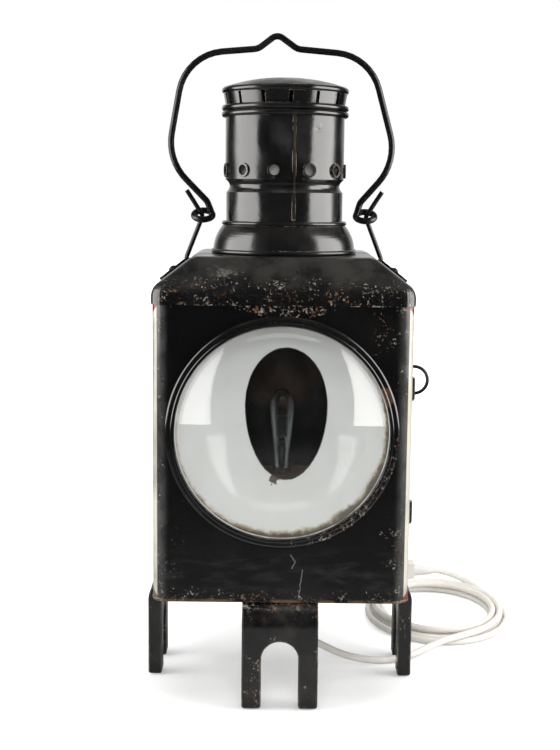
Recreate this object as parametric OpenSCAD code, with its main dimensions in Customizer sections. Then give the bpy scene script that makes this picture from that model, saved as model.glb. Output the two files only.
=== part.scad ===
// Railway signal lamp: a sheet-steel lantern on four forked feet, with a domed front lens,
// a white bowl reflector, a vented chimney, a wire carrying bail and a hinged side door.
// Millimetres. The ground is z = 0, the lens faces -Y and the door is on the +X side.

/* [Casing] */
// Width of the casing across its side walls
body_w = 170; // [162:1:190]
// Depth of the casing from front wall to back wall
body_d = 170; // [162:1:190]
// Height of the casing walls
body_h = 201; // [190:1:225]
// Radius of the upright corners
corner_r = 9.5; // [7:0.5:12]
// Thickness of the sheet steel
sheet_t = 0.9; // [0.7:0.1:1.2]
// Radius of the wired bead along the lower edge
edge_bead_r = 1.2; // [0.8:0.1:1.6]
// Height of the casing's lower edge above the ground
stand_h = 71; // [62:1:85]
// Height of the base plate's upturned flange
base_flange_h = 9; // [5:1:14]
// Width of the soldered lap seam down the back wall
back_seam_w = 12; // [8:1:18]

/* [Forked feet] */
// Width of the flat bar
fork_w = 50.5; // [46:0.5:56]
// Thickness of the flat bar
fork_t = 9.5; // [7:0.5:11]
// Outer radius of the bend under the base
fork_bend_r = 16; // [13:0.5:20]
// Distance that the legs stand outside the casing wall
fork_proud = 8; // [4:0.5:12]
// Distance of the side feet in front of the casing's axis
side_fork_fwd = 6; // [4:0.5:7]
// Distance from the lamp's axis to the inner end of a foot flange
fork_flange_in = 45; // [42:1:52]
// Width of the bracket slot
fork_slot_w = 24.7; // [20:0.1:28]
// Height of the slot's round top above the ground
fork_slot_top = 46.7; // [38:0.1:50]
// Radius of the prongs' lower corners
prong_r = 3; // [1:0.5:4]
// Diameter of the foot rivets
fork_rivet_d = 5; // [4:0.5:6]
// Spacing of the two rivets across a foot
fork_rivet_gap = 26; // [20:1:32]

/* [Roof] */
// Height of the roof from skirt edge to flat top
roof_h = 30; // [26:0.5:36]
// Overlap of the roof skirt over the casing
roof_lap = 4; // [3:0.5:6]
// Slope of the hipped sides in degrees
roof_slope = 38; // [34:1:42]
// Radius of the rounded edge round the flat top
roof_top_r = 12; // [8:0.5:14]

/* [Chimney] */
// Radius of the flared base at the roof
chim_base_r = 51; // [48:0.5:52]
// Height of the flared base
chim_base_h = 21; // [18:0.5:24]
// Outer radius of the lower tube
chim_lower_r = 40.6; // [40:0.1:41.5]
// Outer radius of the upper tube
chim_upper_r = 41.2; // [40:0.1:42.5]
// Depth of the rolled waist groove
waist_depth = 2.6; // [1.5:0.1:3]
// Height of the waist groove above the roof
waist_z = 46; // [42:1:50]
// Height of the tube's top edge above the roof
chim_tube_h = 97.2; // [92:0.2:104]
// Number of round vents in the upper tube
vent_count = 11; // [8:1:13]
// Diameter of a vent
vent_d = 7; // [5:0.5:8]
// Height of the vents above the roof
vent_z = 57; // [55.5:0.5:70]
// Width of the tube's lap seam
chim_seam_w = 2.5; // [1.5:0.5:4]
// Height of the cap above the tube
cap_h = 22.6; // [20:0.2:26]
// Rise of the cap's domed top
cap_dome_h = 6.5; // [5:0.5:8]
// Number of upright slots in the cap
cap_slot_count = 14; // [10:1:18]
// Outer radius of the inner flue
flue_r = 35.5; // [33:0.5:35.5]

/* [Lens] */
// Height of the lens centre above the ground
lens_z = 185.3; // [180:0.5:190]
// Visible diameter of the domed glass
lens_d = 139.7; // [130:0.1:144]
// Rise of the glass dome in front of its rim
lens_rise = 26; // [18:0.5:34]
// Thickness of the glass
glass_t = 3; // [2:0.5:4]
// Width of the rolled outer bead of the lens ring
ring_bead_w = 4.3; // [3.4:0.1:5]
// Width of the lens ring's inner lip
ring_lip_w = 2.7; // [2.2:0.1:3.2]
// Thickness of the gasket behind the glass
gasket_t = 1; // [0.6:0.1:1.6]

/* [Reflector] */
// Radius of the reflector bowl's rim
bowl_rim_r = 72; // [69:0.5:74]
// Spherical radius of the bowl
bowl_sphere_r = 80; // [78:0.5:90]
// Width of the egg-shaped opening
egg_w = 55; // [48:0.5:60]
// Height of the opening above its widest level
egg_up = 41; // [36:0.5:44]
// Height of the opening below its widest level
egg_down = 49; // [44:0.5:52]
// Height of the opening's widest level above the lens centre
egg_lift = 11; // [8:0.5:14]
// Distance of the opening to the right of the lens axis
egg_shift = 2.7; // [0:0.1:4]

/* [Electric lamp] */
// Height of the lamp stand's plate above the ground
stand_top_z = 146; // [138:0.5:150]
// Width of the lamp stand
stand_w = 60; // [54:1:64]
// Depth of the lamp stand
stand_d = 42; // [36:1:46]
// Distance of the bulb's axis behind the back of the reflector bowl
bulb_behind = 16.9; // [15:0.1:20]
// Largest diameter of the bulb
bulb_d = 17.6; // [15:0.2:20]
// Height of the bulb's tip above the stand plate
bulb_h = 59; // [52:0.5:62]

/* [Door] */
// Distance of the door's hinged edge behind the front wall
door_front = 35; // [30:1:40]
// Distance of the door's free edge in front of the back wall
door_rear = 19; // [18:0.5:26]
// Height of the door opening
door_h = 160; // [148:1:166]
// Height of the opening's lower edge above the ground
door_z = 88; // [85:0.5:94]
// Height of one hinge
hinge_h = 14.4; // [12:0.3:18]
// Distance between the two hinges' centres
hinge_pitch = 85; // [70:1:100]
// Radius of the hinge knuckles
knuckle_r = 2; // [1.7:0.1:2.4]
// Diameter of the hinge pins
hinge_pin_d = 1.9; // [1.5:0.1:2.1]
// Distance of the latch from the door's free edge
latch_inset = 11; // [10:0.5:16]
// Height of the latch above the ground
latch_z = 201; // [180:1:210]
// Outer diameter of the latch ring
latch_ring_d = 23; // [20:0.5:26]
// Wire diameter of the latch ring
latch_wire_d = 2.6; // [2:0.1:3]
// Length of the latch tongue from its spindle
tongue_l = 15; // [13.5:0.5:17]

/* [Bail] */
// Wire diameter of the bail
bail_wire_d = 4.4; // [4:0.1:4.6]
// Height of the bail's pivot above the roof's flat top
pivot_rise = 26; // [24:0.5:29]
// Distance of an eye's centre from the lamp's axis
eye_x = 56.6; // [55:0.2:59]
// Centreline radius of an eye
eye_r = 6.5; // [6.3:0.1:6.8]
// Tilt of the eyes, front side down, in degrees
eye_tilt = 28; // [24:1:32]
// Height of the bail's peak above its pivot
bail_rise = 123.8; // [118:0.2:130]
// Greatest half width of the bail at its wire's centre
bail_half_w = 76.5; // [75:0.5:78]
// Sideways lean of the bail's peak to the left
bail_lean = 6; // [0:0.5:8]
// Wire diameter of the posts
post_wire_d = 3.2; // [2.8:0.1:3.3]

/* [Cord and plug] */
// Diameter of the cord
cord_d = 5.2; // [4.8:0.1:5.4]
// Radius of the coil's innermost turn
coil_in_r = 43; // [41:0.5:46]
// Sideways step of the coil from turn to turn
coil_pitch = 5.7; // [5.65:0.05:6]
// Length of the plug's body
plug_l = 35; // [32:0.5:38]
// Height of the plug as it lies
plug_t = 16; // [15:0.5:17]
// Spacing of the plug's pins
pin_gap = 18.6; // [17:0.1:19]

/* [Hidden] */
$fn = 64;

paint_black = [0.07, 0.07, 0.07];
paint_cream = [0.9, 0.88, 0.8];
enamel_white = [0.94, 0.94, 0.93];
rust_brown = [0.4, 0.26, 0.18];
steel_grey = [0.55, 0.55, 0.56];
brass_gold = [0.78, 0.62, 0.3];
clear_glass = [0.8, 0.88, 0.9, 0.35];
bakelite_brown = [0.16, 0.11, 0.09];
cord_white = [0.92, 0.91, 0.88];

seat_gap = 0.1;
stop_gap = 0.3;
edge_gap = 0.5;
pin_fit = 0.05;
cut = 1;

half_w = body_w / 2;
half_d = body_d / 2;
wall_x = half_w - sheet_t;
wall_y = half_d - sheet_t;
case_top = stand_h + body_h;
skirt_z = case_top - roof_lap;
roof_z = skirt_z + roof_h;
floor_z = stand_h + sheet_t;

// Plan of the casing: a rectangle with round corners
module rounded_plan(w, d, r) {
    square([w - 2 * r, d], center = true);
    square([w, d - 2 * r], center = true);
    for (sx = [-1, 1], sy = [-1, 1])
        translate([sx * (w / 2 - r), sy * (d / 2 - r)])
            circle(r);
}

// Round bead that runs along the outline of a rounded plan
module plan_bead(w, d, r, bead_r) {
    for (side = [-1, 1]) {
        translate([side * w / 2, 0, 0])
            rotate([90, 0, 0])
                cylinder(h = d - 2 * r, r = bead_r, center = true);
        translate([0, side * d / 2, 0])
            rotate([0, 90, 0])
                cylinder(h = w - 2 * r, r = bead_r, center = true);
    }
    for (quarter = [0 : 3]) {
        sx = (quarter == 0 || quarter == 3) ? 1 : -1;
        sy = quarter < 2 ? 1 : -1;
        translate([sx * (w / 2 - r), sy * (d / 2 - r), 0])
            rotate([0, 0, 90 * quarter])
                rotate_extrude(angle = 90)
                    translate([r, 0])
                        circle(bead_r);
    }
}

// Places a child, drawn with +Z as its front, on the front wall round the lens axis
module on_lens_axis() {
    translate([0, -half_d, lens_z])
        rotate([90, 0, 0])
            children();
}

// Points along the chord from p to q, bowed sideways by s at the middle
function bow(p, q, s, n) =
    let (along = (q - p) / norm(q - p), side = [along[1], -along[0]])
    [for (i = [0 : n]) p + (q - p) * i / n + side * s * 4 * (i / n) * (1 - i / n)];

function reversed(list) = [for (i = [len(list) - 1 : -1 : 0]) list[i]];
function shifted(list, v) = [for (p = list) p + v];

// Flat ring
module washer(r_in, r_out, h) {
    difference() {
        cylinder(h = h, r = r_out);
        translate([0, 0, -cut])
            cylinder(h = h + 2 * cut, r = r_in);
    }
}

// Rivet with its shank along Z: a round head above z = grip and a second one below z = 0
module rivet(d, grip) {
    head_h = 0.45 * d;
    head_r = 0.9 * d;
    ball_r = (head_r * head_r + head_h * head_h) / (2 * head_h);
    cylinder(h = grip, d = d);
    for (end = [0, 1])
        translate([0, 0, end * grip])
            mirror([0, 0, 1 - end])
                intersection() {
                    translate([0, 0, head_h - ball_r])
                        sphere(ball_r);
                    cylinder(h = head_h + cut, r = head_r + cut);
                }
}

// Bent round wire in the XZ plane: straight runs between corner points, each corner an arc
function run_dir(pts, i) = (pts[i + 1] - pts[i]) / norm(pts[i + 1] - pts[i]);
function turn_at(pts, i) =
    let (u = run_dir(pts, i - 1), w = run_dir(pts, i))
    atan2(u[0] * w[1] - u[1] * w[0], u * w);
function bend_points(pts, bends, i, steps) =
    let (u = run_dir(pts, i - 1), turn = turn_at(pts, i), back = bends[i] * tan(abs(turn) / 2),
         start = pts[i] - u * back, centre = start + sign(turn) * bends[i] * [-u[1], u[0]],
         from = atan2(start[1] - centre[1], start[0] - centre[0]))
    [for (k = [0 : steps]) centre + bends[i] * [cos(from + turn * k / steps), sin(from + turn * k / steps)]];
function wire_path(pts, bends, steps) =
    let (n = len(pts),
         flat = concat([pts[0]], [for (i = [1 : n - 2]) each bend_points(pts, bends, i, steps)], [pts[n - 1]]))
    [for (p = flat) [p[0], 0, p[1]]];

// Round tube along a path: side triangles between rings, and a fan over each end
module tube(path, r, sides, ref) {
    n = len(path);
    dirs = [
        for (i = [0 : n - 1])
            let (d = i < 2 ? path[1] - path[0] : i > n - 3 ? path[n - 1] - path[n - 2] : path[i + 1] - path[i - 1])
            d / norm(d)
    ];
    rings = [
        for (i = [0 : n - 1])
            let (s0 = cross(dirs[i], ref), s = s0 / norm(s0), u = cross(s, dirs[i]))
            for (k = [0 : sides - 1])
                path[i] + r * (cos(360 * (k + 0.5) / sides) * u + sin(360 * (k + 0.5) / sides) * s)
    ];
    walls = [
        for (i = [0 : n - 2], k = [0 : sides - 1])
            let (a = i * sides + k, b = i * sides + (k + 1) % sides)
            for (tri = [[a, a + sides, b], [b, a + sides, b + sides]])
                tri
    ];
    last = (n - 1) * sides;
    caps = [
        for (k = [1 : sides - 2])
            for (tri = [[0, k, k + 1], [last, last + k + 1, last + k]])
                tri
    ];
    polyhedron(rings, concat(walls, caps));
}

// Casing and base
lens_hole_r = lens_d / 2 + 0.2;
door_y0 = door_front - half_d;
door_y1 = half_d - door_rear;
door_w = door_y1 - door_y0;

module casing() {
    bead_out = body_w - edge_bead_r;
    bead_deep = body_d - edge_bead_r;
    color(paint_black)
        difference() {
            union() {
                translate([0, 0, stand_h])
                    linear_extrude(body_h)
                        rounded_plan(body_w, body_d, corner_r);
                translate([0, 0, stand_h + edge_bead_r])
                    plan_bead(bead_out, bead_deep, corner_r - edge_bead_r / 2, edge_bead_r);
                translate([-back_seam_w / 2, half_d - cut, stand_h + 2 * edge_bead_r])
                    cube([back_seam_w, cut + sheet_t * 0.8, body_h - roof_lap - 3 * edge_bead_r]);
            }
            translate([0, 0, stand_h - cut])
                linear_extrude(body_h + 2 * cut)
                    rounded_plan(2 * wall_x, 2 * wall_y, corner_r - sheet_t);
            on_lens_axis()
                cylinder(h = 6 * sheet_t, r = lens_hole_r, center = true);
            translate([half_w - 3 * sheet_t, door_y0, door_z])
                cube([6 * sheet_t, door_w, door_h]);
        }
}

gland_x = 8;
gland_shank_r = 6;
stand_bolt_d = 4;
stand_bolt_x = stand_w / 2 + 5;
stand_bolt_gap = 24;
fork_rivet_in = 16;
fork_rivet_at = fork_flange_in + fork_rivet_in;

// Calls its children at the two rivet places of each of the four feet
module at_fork_rivets() {
    for (turn = [0 : 90 : 270], side = [-1, 1])
        translate([0, turn % 180 == 0 ? 0 : -side_fork_fwd, 0])
            rotate([0, 0, turn])
                translate([side * fork_rivet_gap / 2, -fork_rivet_at, 0])
                    children();
}

module at_stand_bolts() {
    for (sx = [-1, 1], sy = [-1, 1])
        translate([sx * stand_bolt_x, -bulb_fwd + sy * stand_bolt_gap / 2, 0])
            children();
}

module base_plate() {
    pan_w = 2 * (wall_x - seat_gap);
    pan_d = 2 * (wall_y - seat_gap);
    pan_r = corner_r - sheet_t - seat_gap;
    color(paint_black)
        difference() {
            translate([0, 0, stand_h])
                linear_extrude(base_flange_h)
                    rounded_plan(pan_w, pan_d, pan_r);
            translate([0, 0, floor_z])
                linear_extrude(base_flange_h)
                    rounded_plan(pan_w - 2 * sheet_t, pan_d - 2 * sheet_t, pan_r - sheet_t);
            translate([gland_x, 0, stand_h - cut])
                cylinder(h = sheet_t + 2 * cut, r = gland_shank_r + seat_gap);
            at_fork_rivets()
                translate([0, 0, stand_h - cut])
                    cylinder(h = sheet_t + 2 * cut, d = fork_rivet_d + 2 * seat_gap);
            at_stand_bolts()
                translate([0, 0, stand_h - cut])
                    cylinder(h = sheet_t + 2 * cut, d = stand_bolt_d + 2 * seat_gap);
        }
}

// One forked foot below the front wall, for a wall at the given distance from the axis
module fork(wall) {
    out = wall + fork_proud;
    leg_top = stand_h - fork_bend_r;
    prong_w = (fork_w - fork_slot_w) / 2;
    arch_r = fork_slot_w / 2;
    arch_z = fork_slot_top - arch_r;
    end_r = min(prong_r, 0.3 * fork_t);
    color(paint_black)
        difference() {
            union() {
                intersection() {
                    translate([0, fork_t - out, 0])
                        rotate([90, 0, 0])
                            linear_extrude(fork_t) {
                                translate([-fork_w / 2, arch_z])
                                    square([fork_w, leg_top - arch_z]);
                                for (side = [-1, 1])
                                    translate([side * (fork_w - prong_w) / 2, 0])
                                        prong_outline(prong_w, arch_z, prong_r);
                            }
                    translate([0, fork_t / 2 - out, 0])
                        rotate([90, 0, 90])
                            linear_extrude(2 * fork_w, center = true)
                                prong_outline(fork_t, leg_top, end_r);
                }
                rotate([90, 0, -90])
                    linear_extrude(fork_w, center = true) {
                        translate([out - fork_bend_r, leg_top])
                            intersection() {
                                difference() {
                                    circle(fork_bend_r);
                                    circle(fork_bend_r - fork_t);
                                }
                                square(fork_bend_r);
                            }
                        translate([fork_flange_in, stand_h - fork_t])
                            square([out - fork_bend_r - fork_flange_in, fork_t]);
                    }
            }
            translate([0, -out, arch_z])
                rotate([90, 0, 0])
                    cylinder(h = 4 * fork_t, r = arch_r, center = true);
            for (side = [-1, 1])
                translate([side * fork_rivet_gap / 2, -fork_rivet_at, stand_h - fork_t - cut])
                    cylinder(h = fork_t + 2 * cut, d = fork_rivet_d + 2 * seat_gap);
        }
}

module prong_outline(w, h, r) {
    translate([-w / 2, r])
        square([w, h - r]);
    translate([r - w / 2, 0])
        square([w - 2 * r, r]);
    for (side = [-1, 1])
        translate([side * (w / 2 - r), r])
            circle(r);
}

module front_fork() {
    fork(half_d);
}

module rear_fork() {
    rotate([0, 0, 180])
        fork(half_d);
}

module left_fork() {
    translate([0, -side_fork_fwd, 0])
        rotate([0, 0, -90])
            fork(half_w);
}

module right_fork() {
    translate([0, -side_fork_fwd, 0])
        rotate([0, 0, 90])
            fork(half_w);
}

module fork_rivets() {
    color(steel_grey)
        at_fork_rivets()
            translate([0, 0, stand_h - fork_t])
                rivet(fork_rivet_d, fork_t + sheet_t);
}

// Roof: a pressed cover with rounded eaves, hips and top edge
eave_r = corner_r + seat_gap + sheet_t;
eave_z = case_top + 1;
eave_x = half_w - corner_r;
eave_y = half_d - corner_r;
slope_len = (roof_z - roof_top_r - eave_z - (eave_r - roof_top_r) * cos(roof_slope)) / sin(roof_slope);
top_in = slope_len * cos(roof_slope) - (eave_r - roof_top_r) * sin(roof_slope);
post_rivet_d = 3.4;
post_foot_l = 20;
post_rivet_at = 6;
post_foot_t = 2;
post_foot_w = 11;

module roof_form(inset) {
    hull()
        for (sx = [-1, 1], sy = [-1, 1]) {
            translate([sx * eave_x, sy * eave_y, skirt_z - eave_r])
                cylinder(h = eave_z - skirt_z + eave_r, r = eave_r - inset, $fn = 32);
            translate([sx * eave_x, sy * eave_y, eave_z])
                sphere(eave_r - inset, $fn = 32);
            translate([sx * (eave_x - top_in), sy * (eave_y - top_in), roof_z - roof_top_r])
                sphere(roof_top_r - inset, $fn = 32);
        }
}

// Left slope of the roof: the child's XY plane lies on it, with +X uphill from the eave
module on_left_slope() {
    translate([-eave_x - eave_r * sin(roof_slope), 0, eave_z + eave_r * cos(roof_slope)])
        rotate([0, -roof_slope, 0])
            children();
}

module at_post_rivets() {
    for (side = [0, 1])
        mirror([side, 0, 0])
            on_left_slope()
                translate([post_rivet_at, 0, 0])
                    children();
}

module roof() {
    color(paint_black)
        difference() {
            roof_form(0);
            roof_form(sheet_t);
            translate([-body_w, -body_d, skirt_z - body_h])
                cube([2 * body_w, 2 * body_d, body_h]);
            translate([0, 0, roof_z - 4 * sheet_t])
                cylinder(h = 6 * sheet_t, r = flue_r + seat_gap);
            at_post_rivets()
                cylinder(h = 6 * sheet_t, d = post_rivet_d + 2 * seat_gap, center = true);
        }
}

// Chimney, drawn with the roof's flat top at z = 0
module on_roof() {
    translate([0, 0, roof_z])
        children();
}

module inner_flue() {
    flue_below = 8;
    flue_up = chim_tube_h - 12;
    flange_r = chim_lower_r + 3;
    color(rust_brown)
        on_roof()
            difference() {
                union() {
                    translate([0, 0, -flue_below])
                        cylinder(h = flue_below + flue_up, r = flue_r);
                    translate([0, 0, seat_gap])
                        cylinder(h = sheet_t, r = flange_r);
                }
                translate([0, 0, -flue_below - cut])
                    cylinder(h = flue_below + flue_up + 2 * cut, r = flue_r - sheet_t);
            }
}

neck_bead_r = 1.4;
foot_bead_r = 1.6;

module chimney_base() {
    neck_r = chim_lower_r + 2 * seat_gap;
    bell_low = [chim_base_r - foot_bead_r, 2 * foot_bead_r - 0.4];
    bell_top = [neck_r + sheet_t + 0.9, chim_base_h - neck_bead_r];
    bell = bow(bell_low, bell_top, 1.6, 10);
    color(paint_black)
        on_roof()
            rotate_extrude($fn = 128)
                difference() {
                    union() {
                        polygon(concat(bell, reversed(shifted(bell, [-1.4 * sheet_t, 0]))));
                        translate([chim_base_r - foot_bead_r, foot_bead_r + seat_gap])
                            circle(foot_bead_r);
                        translate([neck_r + neck_bead_r, chim_base_h])
                            circle(neck_bead_r);
                        translate([neck_r, chim_base_h - 1.8 * neck_bead_r])
                            square([1.6 * sheet_t, 1.8 * neck_bead_r]);
                    }
                    square([neck_r, 2 * chim_base_h]);
                }
}

// Outer outline of the chimney tube from height z0, through the waist groove, to height z1
function tube_path(z0, z1) = concat(
    [[chim_lower_r, z0], [chim_lower_r, waist_z - 5]],
    bow([chim_lower_r, waist_z - 4], [chim_upper_r, waist_z + 5], -waist_depth, 12),
    [[chim_upper_r, waist_z + 6], [chim_upper_r, z1]]
);

top_bead_r = 2;
collar_h = 1.3;
collar_d = vent_d + 2.6;
first_vent = -9.5;
seam_at = 7;
first_slot = 5.2;

module at_vents() {
    for (i = [0 : vent_count - 1])
        rotate([0, 0, first_vent + i * 360 / vent_count])
            translate([0, 0, vent_z])
                rotate([90, 0, 0])
                    children();
}

module chimney_tube() {
    tube_z0 = chim_base_h - 7;
    tube_z1 = chim_tube_h - top_bead_r;
    wall = tube_path(tube_z0, tube_z1);
    seam_z0 = chim_base_h + 2 * neck_bead_r;
    seam = tube_path(seam_z0, tube_z1);
    seam_angle = 2 * atan(chim_seam_w / 2 / chim_upper_r);
    inner_r = chim_upper_r - sheet_t;
    color(paint_black)
        on_roof()
            difference() {
                union() {
                    rotate([0, 0, first_vent - 90 + 180 / vent_count]) {
                        rotate_extrude($fn = 128)
                            polygon(concat(wall, reversed(shifted(wall, [-sheet_t, 0]))));
                        rotate_extrude($fn = 128)
                            difference() {
                                translate([inner_r + 0.9 * top_bead_r, tube_z1])
                                    circle(top_bead_r);
                                square([inner_r, 2 * chim_tube_h]);
                            }
                    }
                    rotate([0, 0, seam_at - 90])
                        rotate_extrude(angle = seam_angle, $fn = 128)
                            polygon(concat(shifted(seam, [sheet_t, 0]),
                                           reversed(shifted(seam, [-sheet_t / 2, 0]))));
                    at_vents()
                        translate([0, 0, chim_upper_r - sheet_t])
                            cylinder(h = sheet_t + collar_h, d = collar_d);
                }
                at_vents()
                    translate([0, 0, chim_upper_r / 2])
                        cylinder(h = chim_upper_r, d = vent_d);
                rotate([0, 0, first_vent - 90 + 180 / vent_count])
                    translate([0, 0, waist_z + 5])
                        cylinder(h = tube_z1 - waist_z - 5, r = inner_r);
            }
}

module chimney_cap() {
    bead_r = 2;
    sleeve_r = chim_upper_r - sheet_t - 2 * seat_gap;
    cap_z0 = chim_tube_h + 2 * seat_gap;
    cap_top = chim_tube_h + cap_h;
    waist_r = chim_upper_r + 0.3;
    rim_z = cap_top - cap_dome_h - bead_r;
    slot_h = rim_z - cap_z0 - 4 * bead_r + 2;
    slot_w = 2.6;
    dome = bow([waist_r + 1.2, rim_z + bead_r], [0, cap_top], 2.1, 14);
    shell = concat([[waist_r - 0.6, cap_z0 + bead_r], [waist_r + 1.6, rim_z]], dome);
    color(paint_black)
        on_roof()
            difference() {
                rotate_extrude($fn = 128)
                    difference() {
                        union() {
                            polygon(concat(shell, [[0, rim_z - bead_r]], [[0, cap_z0 + bead_r]]));
                            translate([sleeve_r - sheet_t, cap_z0 - 6])
                                square([sheet_t, 6 + 2 * bead_r]);
                            for (z = [cap_z0 + bead_r, rim_z])
                                translate([waist_r + 0.5, z])
                                    circle(bead_r);
                        }
                        polygon(concat([[0, cap_z0], [sleeve_r - sheet_t, cap_z0],
                                        [sleeve_r - sheet_t, rim_z]],
                                       shifted(dome, [-1.5 * sheet_t, -sheet_t])));
                        square([sleeve_r - sheet_t, cap_z0 + cut]);
                    }
                for (i = [0 : cap_slot_count - 1])
                    rotate([0, 0, first_slot - 90 + i * 360 / cap_slot_count])
                        translate([waist_r, 0, (cap_z0 + rim_z + bead_r) / 2])
                            cube([8 * sheet_t, slot_w, slot_h], center = true);
            }
}

// Bail and the hooked posts that carry it, in the XZ plane
pivot_z = roof_z + pivot_rise;
eye_in = [eye_x - eye_r, pivot_z];
arm_low = eye_in + [3.3, 9.5];
side_corner = [bail_half_w + 3.5, pivot_z + 38];
crossbar_drop = 9.9;
peak = [0, pivot_z + bail_rise];
bump = [13.5, peak[1] - crossbar_drop];
bar_corner = [bail_half_w - 12.8, bump[1] - 4.3];
half_bail = [peak, bump, bar_corner, side_corner, arm_low, eye_in];
half_bends = [6, 10, 33, 36, 8, 0];

function leaned(list) = [for (p = list) p - [bail_lean * (p[1] - pivot_z) / bail_rise, 0]];
function mirrored(list) = [for (i = [len(list) - 1 : -1 : 1]) [-list[i][0], list[i][1]]];

module bail() {
    bends = concat(reversed([for (i = [1 : len(half_bends) - 1]) half_bends[i]]), half_bends);
    corners = leaned(concat(mirrored(half_bail), half_bail));
    color(paint_black) {
        tube(wire_path(corners, bends, 8), bail_wire_d / 2, 14, [0, 1, 0]);
        for (side = [-1, 1])
            translate([side * eye_x, 0, pivot_z])
                rotate([eye_tilt, 0, 0])
                    rotate_extrude()
                        translate([eye_r, 0])
                            circle(d = bail_wire_d);
    }
}

slope_foot = [-eave_x - eave_r * sin(roof_slope), eave_z + eave_r * cos(roof_slope)];
hook_off = 0.4;
hook_in = [-eye_x - hook_off, pivot_z - 0.5];
hook_mid = hook_in + [-6.4, 10.2];
hook_tip = hook_in + [-11.2, 17.6];

module left_post() {
    up_slope = [cos(roof_slope), sin(roof_slope)];
    off_slope = [-sin(roof_slope), cos(roof_slope)];
    foot_end = slope_foot + (post_foot_l - 2) * up_slope + 1.5 * off_slope;
    color(paint_black) {
        difference() {
            on_left_slope()
                translate([0, 0, seat_gap])
                    linear_extrude(post_foot_t)
                        union() {
                            translate([0, -post_foot_w / 2])
                                square([post_foot_l, post_foot_w]);
                            circle(d = post_foot_w);
                        }
            at_post_rivets()
                cylinder(h = 6 * post_foot_t, d = post_rivet_d + 2 * seat_gap, center = true);
        }
        tube(wire_path([foot_end, hook_in, hook_mid, hook_tip], [0, 2.5, 5, 0], 5), post_wire_d / 2, 12, [0, 1, 0]);
    }
}

module right_post() {
    mirror([1, 0, 0])
        left_post();
}

module post_rivets() {
    color(paint_black)
        at_post_rivets()
            translate([0, 0, -sheet_t - seat_gap])
                rivet(post_rivet_d, post_foot_t + 2 * seat_gap + sheet_t);
}

// Lens group, drawn with the front wall's outer face at z = 0 and +Z towards the viewer
glass_r = lens_d / 2 + 2;
lip_z = gasket_t + glass_t;

module lens_gasket() {
    color(bakelite_brown)
        on_lens_axis()
            washer(lens_hole_r, glass_r, gasket_t);
}

module lens_glass() {
    dome_r = lens_d / 2;
    ball_r = (dome_r * dome_r + lens_rise * lens_rise) / (2 * lens_rise);
    color(clear_glass)
        on_lens_axis()
            union() {
                translate([0, 0, gasket_t])
                    washer(dome_r - 1.5, glass_r, glass_t);
                intersection() {
                    translate([0, 0, lip_z + lens_rise - ball_r])
                        difference() {
                            sphere(ball_r, $fn = 128);
                            sphere(ball_r - glass_t, $fn = 128);
                        }
                    translate([0, 0, gasket_t])
                        cylinder(h = lens_rise + glass_t + cut, r = dome_r, $fn = 128);
                }
            }
}

module lens_ring() {
    bead_r = ring_bead_w / 2;
    bead_at = glass_r + seat_gap + bead_r;
    lip_r = ring_lip_w / 2;
    lip_at = lens_d / 2 + lip_r;
    web_z = lip_z + seat_gap;
    color(paint_black)
        on_lens_axis()
            rotate_extrude($fn = 128) {
                translate([bead_at, bead_r + 0.8])
                    circle(bead_r);
                translate([bead_at - bead_r / 2, seat_gap])
                    square([bead_r * 1.4, bead_r]);
                translate([lip_at, web_z + lip_r])
                    circle(lip_r);
                translate([lip_at, web_z])
                    square([bead_at - lip_at, sheet_t]);
            }
}

// Egg-shaped outline: a short half ellipse above a long one
function egg_point(a) = [egg_w / 2 * cos(a), (a < 180 ? egg_up : egg_down) * sin(a)];

rim_z = -sheet_t - seat_gap;
rim_flange = 4;
centre_z = rim_z + sqrt(max(0, bowl_sphere_r * bowl_sphere_r - bowl_rim_r * bowl_rim_r));
bulb_fwd = half_d + centre_z - bowl_sphere_r - bulb_behind;

module reflector() {
    bowl_deep = bowl_sphere_r - centre_z + rim_z + cut;
    color(enamel_white)
        on_lens_axis()
            difference() {
                rotate_extrude($fn = 128) {
                    intersection() {
                        translate([0, centre_z])
                            difference() {
                                circle(bowl_sphere_r, $fn = 128);
                                circle(bowl_sphere_r - sheet_t, $fn = 128);
                            }
                        translate([0, rim_z - bowl_deep])
                            square([bowl_rim_r + cut, bowl_deep]);
                    }
                    translate([bowl_rim_r - 1.2, rim_z - sheet_t])
                        square([1.2 + rim_flange, sheet_t]);
                }
                translate([egg_shift, egg_lift, rim_z - bowl_sphere_r])
                    linear_extrude(bowl_sphere_r - 2)
                        polygon([for (a = [0 : 7.5 : 352.5]) egg_point(a)]);
            }
}

module reflector_clips() {
    clip_w = 10;
    clip_l = 9;
    finger = 3;
    pad_in = bowl_rim_r + rim_flange + seat_gap;
    color(steel_grey)
        on_lens_axis()
            for (at = [45 : 90 : 315])
                rotate([0, 0, at])
                    translate([pad_in, -clip_w / 2, 0]) {
                        translate([0, 0, rim_z - sheet_t - seat_gap])
                            cube([clip_l, clip_w, sheet_t + seat_gap]);
                        translate([-finger, 0, rim_z - 2 * sheet_t - seat_gap])
                            cube([finger + clip_l, clip_w, sheet_t]);
                    }
}

// Electric lamp on its stand
stand_t = 1.5;
holder_r = 12;
holder_neck_r = 9.5;
cap_r = 6.9;
neck_r = 5.4;

module on_bulb_axis() {
    translate([0, -bulb_fwd, 0])
        children();
}

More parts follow.
